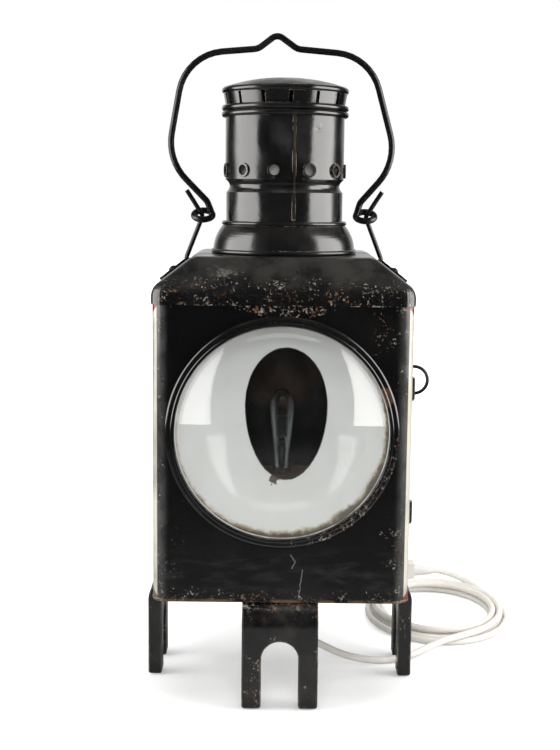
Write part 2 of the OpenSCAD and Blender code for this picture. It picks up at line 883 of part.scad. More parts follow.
module lamp_stand() {
    foot_w = 12;
    color(rust_brown)
        on_bulb_axis()
            difference() {
                union() {
                    translate([-stand_w / 2, -stand_d / 2, stand_top_z - stand_t])
                        cube([stand_w, stand_d, stand_t]);
                    for (side = [0, 1])
                        mirror([side, 0, 0]) {
                            translate([stand_w / 2 - stand_t, -stand_d / 2, floor_z])
                                cube([stand_t, stand_d, stand_top_z - floor_z]);
                            translate([stand_w / 2 - stand_t, -stand_d / 2, floor_z])
                                cube([foot_w, stand_d, stand_t]);
                        }
                }
                translate([0, 0, stand_top_z - 2 * stand_t])
                    cylinder(h = 3 * stand_t, r = holder_neck_r + seat_gap);
                for (sx = [-1, 1], sy = [-1, 1])
                    translate([sx * stand_bolt_x, sy * stand_bolt_gap / 2, floor_z - cut])
                        cylinder(h = stand_t + 2 * cut, d = stand_bolt_d + 2 * seat_gap);
            }
}

module stand_bolts() {
    head_r = 3.6;
    head_h = 2.4;
    grip = sheet_t + stand_t;
    color(steel_grey)
        at_stand_bolts()
            translate([0, 0, stand_h]) {
                translate([0, 0, -head_h])
                    cylinder(h = head_h, r = head_r, $fn = 6);
                cylinder(h = grip, d = stand_bolt_d);
                translate([0, 0, grip])
                    cylinder(h = head_h, r = head_r, $fn = 6);
            }
}

holder_h = 30;
holder_z = stand_top_z - stand_t - holder_h;
cap_z = holder_z + 8;
cap_up = stand_top_z + 4;

module lampholder() {
    color(bakelite_brown)
        on_bulb_axis()
            difference() {
                union() {
                    translate([0, 0, holder_z])
                        cylinder(h = holder_h, r = holder_r);
                    translate([0, 0, holder_z])
                        cylinder(h = holder_h + stand_t + 1, r = holder_neck_r);
                }
                translate([0, 0, cap_z])
                    cylinder(h = holder_h, r = cap_r + seat_gap);
            }
}

module bulb_cap() {
    cup_depth = 5;
    color(brass_gold)
        on_bulb_axis()
            difference() {
                translate([0, 0, cap_z])
                    cylinder(h = cap_up - cap_z, r = cap_r);
                translate([0, 0, cap_up - cup_depth])
                    cylinder(h = cup_depth + cut, r = neck_r + seat_gap);
            }
}

glass_z0 = cap_up - 5;
tip_z = stand_top_z + bulb_h;
bulb_wall = 0.7;

module bulb_glass() {
    bulb_r = bulb_d / 2;
    belly_z = tip_z - 0.8 * bulb_d;
    rise = tip_z - belly_z;
    crown = [for (i = [0 : 10]) [bulb_r * cos(9 * i), belly_z + rise * sin(9 * i)]];
    crown_in = [for (i = [0 : 10]) [(bulb_r - bulb_wall) * cos(9 * i), belly_z + (rise - bulb_wall) * sin(9 * i)]];
    flank = bow([neck_r, cap_up + 1], [bulb_r, belly_z], 0.5, 8);
    flank_in = shifted(flank, [-bulb_wall, 0]);
    color(clear_glass)
        on_bulb_axis()
            rotate_extrude()
                polygon(concat([[neck_r, glass_z0]], flank, crown, reversed(crown_in), reversed(flank_in),
                               [[neck_r - bulb_wall, glass_z0]]));
}

module bulb_mount() {
    stem_r = 1.2;
    foot_r = neck_r - bulb_wall - seat_gap;
    wire_r = 0.4;
    wire_x = 3.6;
    stem_z = glass_z0 + 0.45 * (tip_z - glass_z0);
    filament_z = glass_z0 + 0.68 * (tip_z - glass_z0);
    color(steel_grey)
        on_bulb_axis()
            union() {
                translate([0, 0, glass_z0])
                    cylinder(h = 3, r = foot_r);
                translate([0, 0, glass_z0])
                    cylinder(h = stem_z - glass_z0, r = stem_r);
                translate([-wire_x - wire_r, -wire_r, stem_z - 2 * wire_r])
                    cube([2 * (wire_x + wire_r), 2 * wire_r, 2 * wire_r]);
                for (side = [-1, 1])
                    translate([side * wire_x, 0, stem_z - wire_r])
                        cylinder(h = filament_z - stem_z + wire_r, r = wire_r);
                translate([0, 0, filament_z])
                    rotate([0, 90, 0])
                        cylinder(h = 2 * (wire_x + wire_r), r = 0.8, center = true);
            }
}

// Cable gland in the base plate
gland_end_z = 49;
gland_flange_h = 3;
gland_flange_r = 9.5;
gland_top_z = floor_z + 7;

module cable_gland() {
    taper_top = stand_h - gland_flange_h;
    color(cord_white)
        translate([gland_x, 0, 0]) {
            translate([0, 0, gland_end_z])
                cylinder(h = taper_top - gland_end_z, r1 = 4.2, r2 = 7);
            translate([0, 0, taper_top])
                cylinder(h = gland_flange_h, r = gland_flange_r);
            translate([0, 0, taper_top])
                cylinder(h = gland_top_z - taper_top, r = gland_shank_r);
        }
}

module gland_nut() {
    nut_r = 10;
    nut_h = 4;
    color(steel_grey)
        translate([gland_x, 0, floor_z])
            difference() {
                cylinder(h = nut_h, r = nut_r, $fn = 6);
                translate([0, 0, -cut])
                    cylinder(h = nut_h + 2 * cut, r = gland_shank_r + seat_gap);
            }
}

// Door in the right-hand wall
frame_t = sheet_t;
frame_margin = 8;
frame_lip = 4;
door_face = half_w + stop_gap;
hinge_clear = 0.15;
hinge_x = door_face + hinge_clear + knuckle_r;
casing_leaf_l = 14;
door_leaf_l = 22;
hinge_mid = door_z + door_h / 2 - 0.5;
knuckle_third = hinge_h / 3;
knuckle_gap = 0.15;
strap_t = 1;
latch_y = door_y1 - latch_inset;
spindle_r = 2.4;
bush_r = 3.4;
bush_flange_r = 5.5;
bush_flange_t = 0.9;
tongue_t = 1.6;
tongue_face = wall_x - frame_t - stop_gap;

module door_frame() {
    color(paint_black)
        translate([wall_x - frame_t, door_y0, door_z])
            difference() {
                translate([0, -frame_margin, -frame_margin])
                    cube([frame_t, door_w + 2 * frame_margin, door_h + 2 * frame_margin]);
                translate([-cut, frame_lip, frame_lip])
                    cube([frame_t + 2 * cut, door_w - 2 * frame_lip, door_h - 2 * frame_lip]);
            }
}

module door_panel() {
    color(paint_cream)
        difference() {
            translate([door_face - sheet_t, door_y0 + edge_gap, door_z + edge_gap])
                cube([sheet_t, door_w - 2 * edge_gap, door_h - 2 * edge_gap]);
            translate([door_face, latch_y, latch_z])
                rotate([0, 90, 0])
                    cylinder(h = 4 * sheet_t, r = bush_r + seat_gap, center = true);
        }
}

module at_hinges() {
    for (side = [-1, 1])
        translate([hinge_x, door_y0, hinge_mid + side * hinge_pitch / 2])
            children();
}

// Rolled hinge leaf: a knuckle round the pin and a strap on the sheet that it is riveted to
module hinge_leaf(z0, z1, sheet_face, reach) {
    strap_x = sheet_face - hinge_x;
    difference() {
        union() {
            translate([0, 0, z0])
                cylinder(h = z1 - z0, r = knuckle_r);
            translate([strap_x, min(0, reach), z0])
                cube([strap_t, abs(reach), z1 - z0]);
        }
        translate([0, 0, z0 - cut])
            cylinder(h = z1 - z0 + 2 * cut, d = hinge_pin_d + 2 * pin_fit);
    }
}

module casing_hinges() {
    color(paint_black)
        at_hinges()
            for (side = [0, 1])
                mirror([0, 0, side])
                    hinge_leaf(knuckle_third / 2 + knuckle_gap, hinge_h / 2, half_w, -casing_leaf_l);
}

module door_hinges() {
    color(paint_black)
        at_hinges()
            hinge_leaf(-knuckle_third / 2, knuckle_third / 2, door_face, door_leaf_l);
}

module hinge_pins() {
    head_h = 0.9;
    color(steel_grey)
        at_hinges() {
            cylinder(h = hinge_h + 2 * head_h, d = hinge_pin_d, center = true);
            for (side = [0, 1])
                mirror([0, 0, side])
                    translate([0, 0, hinge_h / 2 + pin_fit])
                        cylinder(h = head_h, r = 0.85 * knuckle_r);
        }
}

// Turning latch on the door, with its axis along X
module on_latch_axis(x) {
    translate([x, latch_y, latch_z])
        rotate([0, 90, 0])
            children();
}

module latch_bush() {
    color(brass_gold)
        difference() {
            union() {
                on_latch_axis(tongue_face + seat_gap)
                    cylinder(h = door_face - tongue_face, r = bush_r);
                on_latch_axis(door_face)
                    cylinder(h = bush_flange_t, r = bush_flange_r);
            }
            on_latch_axis(tongue_face - cut)
                cylinder(h = 10 * sheet_t, r = spindle_r + pin_fit);
        }
}

head_r = 3.8;
head_x = door_face + bush_flange_t + seat_gap;
ring_wire_r = latch_wire_d / 2;
ring_r = latch_ring_d / 2 - ring_wire_r;
ring_in_x = head_x + 2.2 * ring_wire_r;

module latch_spindle() {
    head_l = 4.4 * ring_wire_r;
    tail_h = 0.9;
    tail_x = tongue_face - tongue_t - seat_gap - tail_h;
    color(steel_grey)
        difference() {
            union() {
                on_latch_axis(tail_x)
                    cylinder(h = head_x - tail_x + cut, r = spindle_r);
                on_latch_axis(tail_x)
                    cylinder(h = tail_h, r = spindle_r + 1);
                on_latch_axis(head_x)
                    cylinder(h = head_l, r = head_r);
            }
            translate([ring_in_x, latch_y, latch_z])
                cylinder(h = 4 * head_r, r = ring_wire_r + 0.6, center = true);
        }
}

module latch_ring() {
    color(paint_black)
        translate([ring_in_x + ring_r, latch_y, latch_z])
            rotate([90, 0, 0])
                rotate_extrude()
                    translate([ring_r, 0])
                        circle(ring_wire_r);
}

module latch_tongue() {
    half_h = 3.6;
    color(steel_grey)
        difference() {
            union() {
                on_latch_axis(tongue_face - tongue_t)
                    cylinder(h = tongue_t, r = half_h);
                translate([tongue_face - tongue_t, latch_y - half_h, latch_z - tongue_l])
                    cube([tongue_t, 2 * half_h, tongue_l]);
            }
            on_latch_axis(tongue_face - tongue_t - cut)
                cylinder(h = tongue_t + 2 * cut, r = spindle_r + pin_fit);
        }
}

// Cord: smooth routes through chosen points, swept with a round section
cord_r = cord_d / 2;
coil_at = [126.5, 108];
coil_stretch = 1.3;
coil_turn_at = 181;
coil_turns_top = 1.6;
coil_turns_low = 919 / 360;
coil_rings = 24;
layer_low_z = cord_r;
layer_top_z = cord_r + cord_d + 0.5;
plug_end = [135, 206, plug_t / 2];

function smooth_step(t) = let (u = min(max(t, 0), 1)) u * u * (3 - 2 * u);

// Point of the coil at t turns from the place where the spiral reverses and drops a layer
function coil_point(t) =
    let (r = coil_in_r + coil_pitch * abs(t), a = coil_turn_at + 360 * t,
         z = layer_top_z + (layer_low_z - layer_top_z) * smooth_step(2 * t + 0.5))
    [coil_at[0] + r * cos(a), coil_at[1] + coil_stretch * r * sin(a), z];
function coil_dir(t) =
    let (a = coil_turn_at + 360 * t, d = [-sin(a), coil_stretch * cos(a), 0])
    d / norm(d);

coil_steps = ceil((coil_turns_top + coil_turns_low) * coil_rings);
coil_wound = [
    for (i = [0 : coil_steps])
        coil_point(-coil_turns_top + (coil_turns_top + coil_turns_low) * i / coil_steps)
];
coil_start = coil_wound[0] - coil_dir(-coil_turns_top) * cord_d;
coil_end = coil_wound[coil_steps] + coil_dir(coil_turns_low) * cord_d;
coil_path = concat([coil_start], coil_wound, [coil_end]);
coil_gap = min([
    for (i = [0 : coil_steps], j = [i + coil_rings - 3 : 1 : coil_steps])
        norm(coil_wound[i] - coil_wound[j]) - cord_d
]);

lead_points = [
    [gland_x, 0, gland_end_z], [gland_x, 0, 42], [10, 0, 32], [18, 0, 20], [32, 1, 11],
    [50, -3, 5], [70, -6, 2.9], [86, -2.5, 3.1], [97, 3.5, 3.8], [110, 14, 5.4], [124, 25, 7.4],
    [139.5, 35, 8.3], [154.5, 47.5, 8.3],
    coil_start - coil_dir(-coil_turns_top) * cord_d, coil_start
];
tail_points = [
    coil_end, coil_end + coil_dir(coil_turns_low) * cord_d, [174, 161, 2.7], [169, 177, 3],
    [161.5, 192.5, 4.2], [151.5, 202, 6.2], plug_end + [cord_d, 0, 0], plug_end
];
inner_points = [
    [gland_x, 0, gland_top_z], [gland_x, 0, gland_top_z + cord_d], [0.75 * gland_x, -0.23 * bulb_fwd, 91],
    [0.25 * gland_x, -0.68 * bulb_fwd, 100],
    [0, -bulb_fwd, holder_z - cord_d], [0, -bulb_fwd, holder_z]
];

// Catmull-Rom curve through a list of points, with k steps a span
function spline(a, b, c, d, t) =
    0.5 * (2 * b + (c - a) * t + (2 * a - 5 * b + 4 * c - d) * t * t + (3 * b - a - 3 * c + d) * t * t * t);
function smooth_route(p, k) = let (n = len(p)) concat(
    [p[0]],
    [for (i = [1 : n - 3], j = [0 : k - 1]) spline(p[i - 1], p[i], p[i + 1], p[i + 2], j / k)],
    [p[n - 2], p[n - 1]]
);

module inner_lead() {
    color(cord_white)
        tube(smooth_route(inner_points, 3), cord_r, 8, [1, 0, 0]);
}

module cord_lead() {
    color(cord_white)
        tube(smooth_route(lead_points, 2), cord_r, 10, [-0.6, 0.8, 0]);
}

module cord_coil() {
    echo(str("Least gap of the coil to itself: ", coil_gap, " mm"));
    color(cord_white)
        tube(coil_path, cord_r, 6, [0, 0, 1]);
}

module cord_tail() {
    color(cord_white)
        tube(smooth_route(tail_points, 2), cord_r, 10, [0, 0, 1]);
}

// Two-pin flat plug lying on the ground, its pins towards -X
plug_sleeve_l = 16;
plug_shoulder = 17;
plug_back = plug_end[0] - plug_sleeve_l;
plug_front = plug_back - plug_l;

module plug_body() {
    wide = pin_gap + plug_shoulder;
    narrow = 15;
    edge = 4;
    outline = [
        [plug_front, -wide / 2], [plug_front + 9, -wide / 2], [plug_back - 7, -narrow / 2],
        [plug_back, -narrow / 2], [plug_back, narrow / 2], [plug_back - 7, narrow / 2],
        [plug_front + 9, wide / 2], [plug_front, wide / 2]
    ];
    section = [
        [-wide / 2, edge], [-wide / 2 + edge, 0], [wide / 2 - edge, 0], [wide / 2, edge],
        [wide / 2, plug_t - edge], [wide / 2 - edge, plug_t], [-wide / 2 + edge, plug_t],
        [-wide / 2, plug_t - edge]
    ];
    color(cord_white)
        translate([0, plug_end[1], 0]) {
            intersection() {
                linear_extrude(plug_t)
                    polygon(outline);
                translate([plug_front, 0, 0])
                    rotate([90, 0, 90])
                        linear_extrude(plug_l)
                            polygon(section);
            }
            translate([plug_back, 0, plug_t / 2])
                rotate([0, 90, 0])
                    cylinder(h = plug_sleeve_l, r1 = 5, r2 = 3.4);
        }
}

module plug_pins() {
    pin_d = 4;
    pin_l = 19;
    sleeve_l = 10;
    color(steel_grey)
        for (side = [-1, 1])
            translate([plug_front, plug_end[1] + side * pin_gap / 2, plug_t / 2])
                rotate([0, -90, 0]) {
                    cylinder(h = sleeve_l, d = 0.9 * pin_d);
                    translate([0, 0, sleeve_l])
                        cylinder(h = pin_l - sleeve_l - pin_d / 2, d = pin_d);
                    translate([0, 0, pin_l - pin_d / 2])
                        sphere(d = pin_d);
                }
}

casing();
base_plate();
front_fork();
rear_fork();
left_fork();
right_fork();
fork_rivets();
roof();
inner_flue();
chimney_base();
chimney_tube();
chimney_cap();
left_post();
right_post();
post_rivets();
bail();
lens_gasket();
lens_glass();
lens_ring();
reflector();
reflector_clips();
lamp_stand();
stand_bolts();
lampholder();
bulb_cap();
bulb_glass();
bulb_mount();
inner_lead();
cable_gland();
gland_nut();
door_frame();
casing_hinges();
hinge_pins();
door_panel();
door_hinges();
latch_bush();
latch_spindle();
latch_ring();
latch_tongue();
cord_lead();
cord_coil();
cord_tail();
plug_body();
plug_pins();
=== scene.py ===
import math

import bpy
from mathutils import Matrix, Vector


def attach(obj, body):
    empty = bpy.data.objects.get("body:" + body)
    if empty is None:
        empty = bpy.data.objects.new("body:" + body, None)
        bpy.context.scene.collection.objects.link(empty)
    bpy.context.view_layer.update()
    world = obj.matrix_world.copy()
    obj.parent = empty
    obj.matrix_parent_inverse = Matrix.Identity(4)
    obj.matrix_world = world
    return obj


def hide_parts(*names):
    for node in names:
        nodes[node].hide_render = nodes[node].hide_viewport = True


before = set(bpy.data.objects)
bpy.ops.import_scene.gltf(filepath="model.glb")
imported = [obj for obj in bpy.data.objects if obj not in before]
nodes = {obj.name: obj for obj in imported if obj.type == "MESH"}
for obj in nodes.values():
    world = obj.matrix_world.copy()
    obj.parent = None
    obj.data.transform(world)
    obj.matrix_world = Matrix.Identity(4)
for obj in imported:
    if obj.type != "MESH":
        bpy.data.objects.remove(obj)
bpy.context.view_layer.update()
scene = bpy.context.scene
scene.view_settings.view_transform = "Standard"

# Camera, fitted to the photograph: place in metres, angles in degrees, lens and sensor in millimetres
CAM_AT = (-0.00175, -0.9168, 0.3404)
CAM_TILT = 8.01
CAM_ROLL = 0.6
CAM_LENS = 62.4
CAM_SENSOR = 36.0
CAM_NEAR = 0.01

cam_data = bpy.data.cameras.new("camera")
cam_data.sensor_width = CAM_SENSOR
cam_data.lens = CAM_LENS
cam_data.clip_start = CAM_NEAR
cam = bpy.data.objects.new("camera", cam_data)
scene.collection.objects.link(cam)
cam.matrix_world = (
    Matrix.Translation(CAM_AT)
    @ Matrix.Rotation(math.radians(90 - CAM_TILT), 4, "X")
    @ Matrix.Rotation(math.radians(CAM_ROLL), 4, "Z")
)
scene.camera = cam

# Cord: the route of the solid, in metres
CORD_D = 0.0052
CORD_R = CORD_D / 2
CORD_ROUNDS = 6
GLAND_X, GLAND_END_Z, GLAND_STUB_Z = 0.008, 0.049, 0.042
COIL_AT = (0.1265, 0.108)
COIL_STRETCH = 1.3
COIL_IN_R, COIL_PITCH = 0.043, 0.0057
COIL_TURN_AT = 181
COIL_STEPS = 132
TURNS_TOP, TURNS_LOW = 1.6, 919 / 360
LAYER_GAP, LAYER_CHANGE_TURNS = 0.0005, 0.5
LAYER_LOW = CORD_R
LAYER_TOP = CORD_R + CORD_D + LAYER_GAP
ROUTE_STEPS = 4
PLUG_END = Vector((0.135, 0.206, 0.008))

# Points of the stretches that aren't coiled, in millimetres
LEAD_POINTS = (
    (10, 0, 32), (18, 0, 20), (32, 1, 11), (50, -3, 5), (70, -6, 2.9), (86, -2.5, 3.1),
    (97, 3.5, 3.8), (110, 14, 5.4), (124, 25, 7.4), (139.5, 35, 8.3), (154.5, 47.5, 8.3),
)
TAIL_POINTS = ((174, 161, 2.7), (169, 177, 3), (161.5, 192.5, 4.2), (151.5, 202, 6.2))


def smooth_step(t):
    u = min(max(t, 0.0), 1.0)
    return u * u * (3 - 2 * u)


def coil_point(t):
    """A point of the coil, t turns from the place where it changes layers."""
    r = COIL_IN_R + COIL_PITCH * abs(t)
    a = math.radians(COIL_TURN_AT + 360 * t)
    z = LAYER_TOP + (LAYER_LOW - LAYER_TOP) * smooth_step(t / LAYER_CHANGE_TURNS + 0.5)
    return Vector((COIL_AT[0] + r * math.cos(a), COIL_AT[1] + COIL_STRETCH * r * math.sin(a), z))


def coil_dir(t):
    a = math.radians(COIL_TURN_AT + 360 * t)
    return Vector((-math.sin(a), COIL_STRETCH * math.cos(a), 0)).normalized()


def spline(a, b, c, d, t):
    bend = 2 * a - 5 * b + 4 * c - d
    twist = 3 * b - a - 3 * c + d
    return 0.5 * (2 * b + (c - a) * t + bend * t**2 + twist * t**3)


def smooth_route(p):
    pts = [p[0]]
    for i in range(1, len(p) - 2):
        pts += [spline(p[i - 1], p[i], p[i + 1], p[i + 2], j / ROUTE_STEPS) for j in range(ROUTE_STEPS)]
    return pts + [p[-2], p[-1]]


def millimetres(rows):
    return [Vector(row) / 1000 for row in rows]


turns = TURNS_TOP + TURNS_LOW
wound = [coil_point(-TURNS_TOP + turns * i / COIL_STEPS) for i in range(COIL_STEPS + 1)]
into_coil = coil_dir(-TURNS_TOP) * CORD_D
out_of_coil = coil_dir(TURNS_LOW) * CORD_D
coil_start = wound[0] - into_coil
coil_end = wound[-1] + out_of_coil
lead = (
    [Vector((GLAND_X, 0, GLAND_END_Z)), Vector((GLAND_X, 0, GLAND_STUB_Z))]
    + millimetres(LEAD_POINTS)
    + [coil_start - into_coil, coil_start]
)
tail = (
    [coil_end, coil_end + out_of_coil]
    + millimetres(TAIL_POINTS)
    + [PLUG_END + Vector((CORD_D, 0, 0)), PLUG_END]
)
cord_points = smooth_route(lead) + wound + smooth_route(tail)

# The bevel depth is one, so that each point's radius is the cord's
cord_curve = bpy.data.curves.new("mains_cord", "CURVE")
cord_curve.dimensions = "3D"
cord_curve.bevel_depth = 1.0
cord_curve.bevel_resolution = CORD_ROUNDS
cord_curve.use_fill_caps = True
cord_line = cord_curve.splines.new("POLY")
cord_line.points.add(len(cord_points) - 1)
for point, at in zip(cord_line.points, cord_points):
    point.co = (at.x, at.y, at.z, 1)
    point.radius = CORD_R
cord_line.use_smooth = True
cord = bpy.data.objects.new("mains_cord", cord_curve)
scene.collection.objects.link(cord)
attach(cord, "lamp")
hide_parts("cord_lead", "cord_coil", "cord_tail")


class Graph:
    """A node material under construction. Places in it are in metres, in the part's frame at rest."""

    def __init__(self, name):
        self.mat = bpy.data.materials.new(name)
        self.mat.use_nodes = True
        self.tree = self.mat.node_tree
        self.tree.nodes.clear()
        self.out = self.tree.nodes.new("ShaderNodeOutputMaterial")
        coords = self.tree.nodes.new("ShaderNodeTexCoord")
        self.at = coords.outputs["Object"]
        xyz = self.node("ShaderNodeSeparateXYZ", {"Vector": self.at})
        self.x, self.y, self.z = xyz.outputs
        turn = self.node("ShaderNodeSeparateXYZ", {"Vector": coords.outputs["Normal"]})
        self.nx, self.ny, self.nz = turn.outputs

    def node(self, kind, ins=None, **props):
        n = self.tree.nodes.new(kind)
        for key, value in props.items():
            setattr(n, key, value)
        for key, value in (ins or {}).items():
            self.put(n.inputs[key], value)
        return n

    def put(self, socket, value):
        if isinstance(value, bpy.types.NodeSocket):
            self.tree.links.new(value, socket)
        else:
            socket.default_value = value

    def put_color(self, socket, value):
        self.put(socket, value if isinstance(value, bpy.types.NodeSocket) else (*value, 1))

    def finish(self, shader):
        self.tree.links.new(shader.outputs[0], self.out.inputs["Surface"])
        return self.mat

    def noise(self, scale, detail=4.0, rough=0.55, stretch=None):
        where = self.at
        if stretch:
            ins = {0: where, 1: stretch}
            where = self.node("ShaderNodeVectorMath", ins, operation="MULTIPLY").outputs[0]
        ins = {"Vector": where, "Scale": scale, "Detail": detail, "Roughness": rough}
        return self.node("ShaderNodeTexNoise", ins).outputs["Fac"]

    def swing(self, amount, scale, detail=4.0, rough=0.55):
        """Noise of the given amount on both sides of zero."""
        return self.times(self.minus(self.noise(scale, detail, rough), 0.5), amount)

    def math(self, op, a, b=0.0, clamp=False):
        return self.node("ShaderNodeMath", {0: a, 1: b}, operation=op, use_clamp=clamp).outputs[0]

    def add(self, *terms):
        total = terms[0]
        for term in terms[1:]:
            total = self.math("ADD", total, term)
        return total

    def times(self, *terms):
        total = terms[0]
        for term in terms[1:]:
            total = self.math("MULTIPLY", total, term)
        return total

    def minus(self, a, b):
        return self.math("SUBTRACT", a, b)

    def over(self, a, b):
        return self.math("DIVIDE", a, b)

    def absolute(self, value):
        return self.math("ABSOLUTE", value)

    def length(self, a, b):
        return self.math("SQRT", self.add(self.times(a, a), self.times(b, b)))

    def step(self, value, low, high, to_low=0.0, to_high=1.0):
        ins = {"Value": value, "From Min": low, "From Max": high, "To Min": to_low, "To Max": to_high}
        return self.node("ShaderNodeMapRange", ins, interpolation_type="SMOOTHSTEP").outputs["Result"]

    def front_half(self):
        return self.step(self.y, 0.0, -0.01)

    def turned_forward(self, low, high):
        return self.step(self.times(self.ny, -1.0), low, high)

    def mix(self, fac, a, b):
        n = self.node("ShaderNodeMix", data_type="RGBA")
        self.put(n.inputs["Factor"], fac)
        self.put_color(n.inputs[6], a)
        self.put_color(n.inputs[7], b)
        return n.outputs[2]

    def blend(self, fac, a, b):
        n = self.node("ShaderNodeMix", data_type="FLOAT")
        self.put(n.inputs["Factor"], fac)
        self.put(n.inputs[2], a)
        self.put(n.inputs[3], b)
        return n.outputs[0]

    def rounded(self, radius):
        return self.node("ShaderNodeBevel", {"Radius": radius}, samples=6).outputs[0]

    def edge(self, radius):
        true = self.node("ShaderNodeNewGeometry").outputs["Normal"]
        ins = {0: self.rounded(radius), 1: true}
        dot = self.node("ShaderNodeVectorMath", ins, operation="DOT_PRODUCT").outputs["Value"]
        return self.step(self.minus(1.0, dot), 0.02, 0.2)

    def bump(self, height, strength, distance, soft=0.0):
        ins = {"Height": height, "Strength": strength, "Distance": distance}
        if soft:
            ins["Normal"] = self.rounded(soft)
        return self.node("ShaderNodeBump", ins).outputs["Normal"]

    def principled(self, color, roughness, normal=None, **values):
        shader = self.node("ShaderNodeBsdfPrincipled")
        self.put_color(shader.inputs["Base Color"], color)
        self.put(shader.inputs["Roughness"], roughness)
        if normal is not None:
            self.put(shader.inputs["Normal"], normal)
        for key, value in values.items():
            self.put(shader.inputs[key.replace("_", " ")], value)
        return shader

    def surface(self, color, roughness, normal, **values):
        return self.finish(self.principled(color, roughness, normal, **values))


# Tones of the paint, its wear and the rust, and of painted highlights and sheen
BLACK = (0.0026, 0.0026, 0.0029)
SMOKE = (0.007, 0.0066, 0.0062)
PRIMER = (0.2, 0.18, 0.155)
RUST = (0.1, 0.045, 0.02)
BARE = (0.3, 0.24, 0.17)
BARE_BROWN = (0.3, 0.21, 0.1)
FLECK = (0.24, 0.22, 0.19)
FADED_FLECK = (0.07, 0.062, 0.052)
DUST = (0.06, 0.055, 0.048)
RUBBED_AND_HIGHLIGHT_GREY = (0.12, 0.11, 0.095)
CREAM = (0.5, 0.475, 0.41)
STAINED_CREAM = (0.36, 0.31, 0.235)
RED = (0.27, 0.032, 0.022)
STAINED_RED = (0.2, 0.03, 0.02)
MUTED_RED = (0.16, 0.12, 0.09)
SHEEN_GREY = (0.024, 0.024, 0.025)
SCRATCH_GREY = (0.2, 0.19, 0.18)
CORNER_SCUFF_AND_HIGHLIGHT = (0.075, 0.074, 0.072)
HEM_BROWN = (0.17, 0.105, 0.045)
SOOT = (0.0105, 0.0105, 0.011)
BEHIND_BULB_BROWN = (0.16, 0.075, 0.035)
CHIMNEY_GREY = (0.03, 0.029, 0.028)
SEAM_BROWN = (0.09, 0.07, 0.05)
ROOF_CHALK_AND_REFLECTION = (0.022, 0.0215, 0.0205)
RING_RUST = (0.085, 0.045, 0.025)
FOOT_BROWN = (0.021, 0.017, 0.0135)
STAND_RUST = (0.13, 0.06, 0.028)
STAND_DARK = (0.045, 0.03, 0.024)
STAND_GRIT = (0.26, 0.13, 0.055)

# Places on the lamp, in metres
CASING_HALF = 0.085
SIGNAL_MID_Z, SIGNAL_HALF_H = 0.1705, 0.0985
LENS_Z = 0.1853
BEHIND_BULB_Z = 0.205
SEAM_X = 0.0066
FLECKED_X, FLECKED_Z = 0.0228, 0.383
FOOT_EDGE_R = 0.0026

# Bands on the lamp, in metres: where a mark begins to show, and where it shows in full
OUTER_SIDE_X = (0.050, 0.055)
FRONT_WALL_Y = (-0.084, -0.0846)
BACK_WALL_Y = (0.08, 0.083)
MUTED_X, MUTED_Y, MUTED_Z = (-0.05, -0.06), (-0.06, -0.072), (0.097, 0.085)
SHEEN_LOW_Z, SHEEN_TOP_Z = (0.07, 0.082), (0.112, 0.098)
BEHIND_BULB_R = (0.05, 0.02)
CORNER_X, CORNER_Y = (0.0745, 0.082), (-0.068, -0.076)
HEM_Z = (0.0736, 0.0722)
ABOVE_LENS_X, ABOVE_LENS_Z = (0.04, 0.02), (0.258, 0.266)
LOW_WALL_Z = (0.084, 0.073)
WALL_ENDS_X, WALL_RIGHT_X = (0.045, 0.075), (-0.06, 0.03)
SEAM_OFF, SEAM_LOW_Z, SEAM_TOP_Z = (0.001, 0.0003), (0.3165, 0.3175), (0.3945, 0.3935)
FLECKED_R = (0.0085, 0.005)
SKIRT_Z = (0.29, 0.282)
RING_LOW_RIGHT = (-0.13, -0.08)
FOOT_BEND_Z = (0.056, 0.069)

# Scratches on the front wall: start and end as x and z, and half the width
FRONT_MARKS = (
    ((0.0148, 0.0934), (0.0121, 0.077), 0.0005),
    ((0.0072, 0.1035), (0.0094, 0.0985), 0.0006),
    ((0.0094, 0.0985), (0.0074, 0.0945), 0.0006),
)


def worn(g, base, zone, edge_wear, edge_r, rough, dust, dents=1.0, bare=BARE, soft=0.0):
    """Worn gloss paint: colour, roughness and normal for a base colour and a wear zone."""
    broad = g.noise(16, 3)
    mid = g.noise(95, 6, 0.62)
    fine = g.noise(520, 4, 0.6)
    edge = g.times(g.edge(edge_r), g.step(g.noise(70, 4), 0.4, 0.62)) if edge_wear else 0.0
    level = g.add(g.times(mid, 0.55), g.times(fine, 0.45), g.times(edge, edge_wear), g.times(zone, 0.16))
    chip = g.step(level, 0.69, 0.72)
    core = g.step(level, 0.77, 0.8)
    color = g.mix(g.step(broad, 0.42, 0.68), base, g.mix(0.5, base, SMOKE))
    up = g.times(g.step(g.nz, 0.2, 0.95), g.step(g.noise(38, 5), 0.35, 0.75), dust)
    color = g.mix(up, color, DUST)
    spots = g.add(g.times(g.noise(640, 5, 0.62), 0.6), g.times(g.noise(230, 4, 0.6), 0.4))
    speck = g.step(g.add(spots, g.times(zone, 0.1)), 0.606, 0.65)
    faded = g.mix(g.step(g.noise(300, 3), 0.35, 0.65), FLECK, FADED_FLECK)
    pale = g.mix(g.step(g.noise(75, 4), 0.47, 0.58), faded, RUST)
    color = g.mix(g.times(speck, g.step(zone, 0.05, 0.3), 0.85), color, pale)
    color = g.mix(g.times(chip, 0.85), color, g.mix(g.step(fine, 0.42, 0.6), RUST, PRIMER))
    color = g.mix(g.times(core, 0.8), color, bare)
    haze = g.step(g.noise(26, 5, 0.6), 0.3, 0.75, rough * 0.7, rough * 1.5)
    roughness = g.blend(chip, g.blend(up, haze, 0.55), 0.6)
    grain = g.add(g.times(mid, 0.08), g.times(fine, 0.03), g.times(chip, -0.25))
    height = g.add(g.times(g.noise(20, 2), 0.9 * dents), g.times(grain, min(dents, 1.0)))
    return color, roughness, g.bump(height, 0.45, 0.0026, soft)


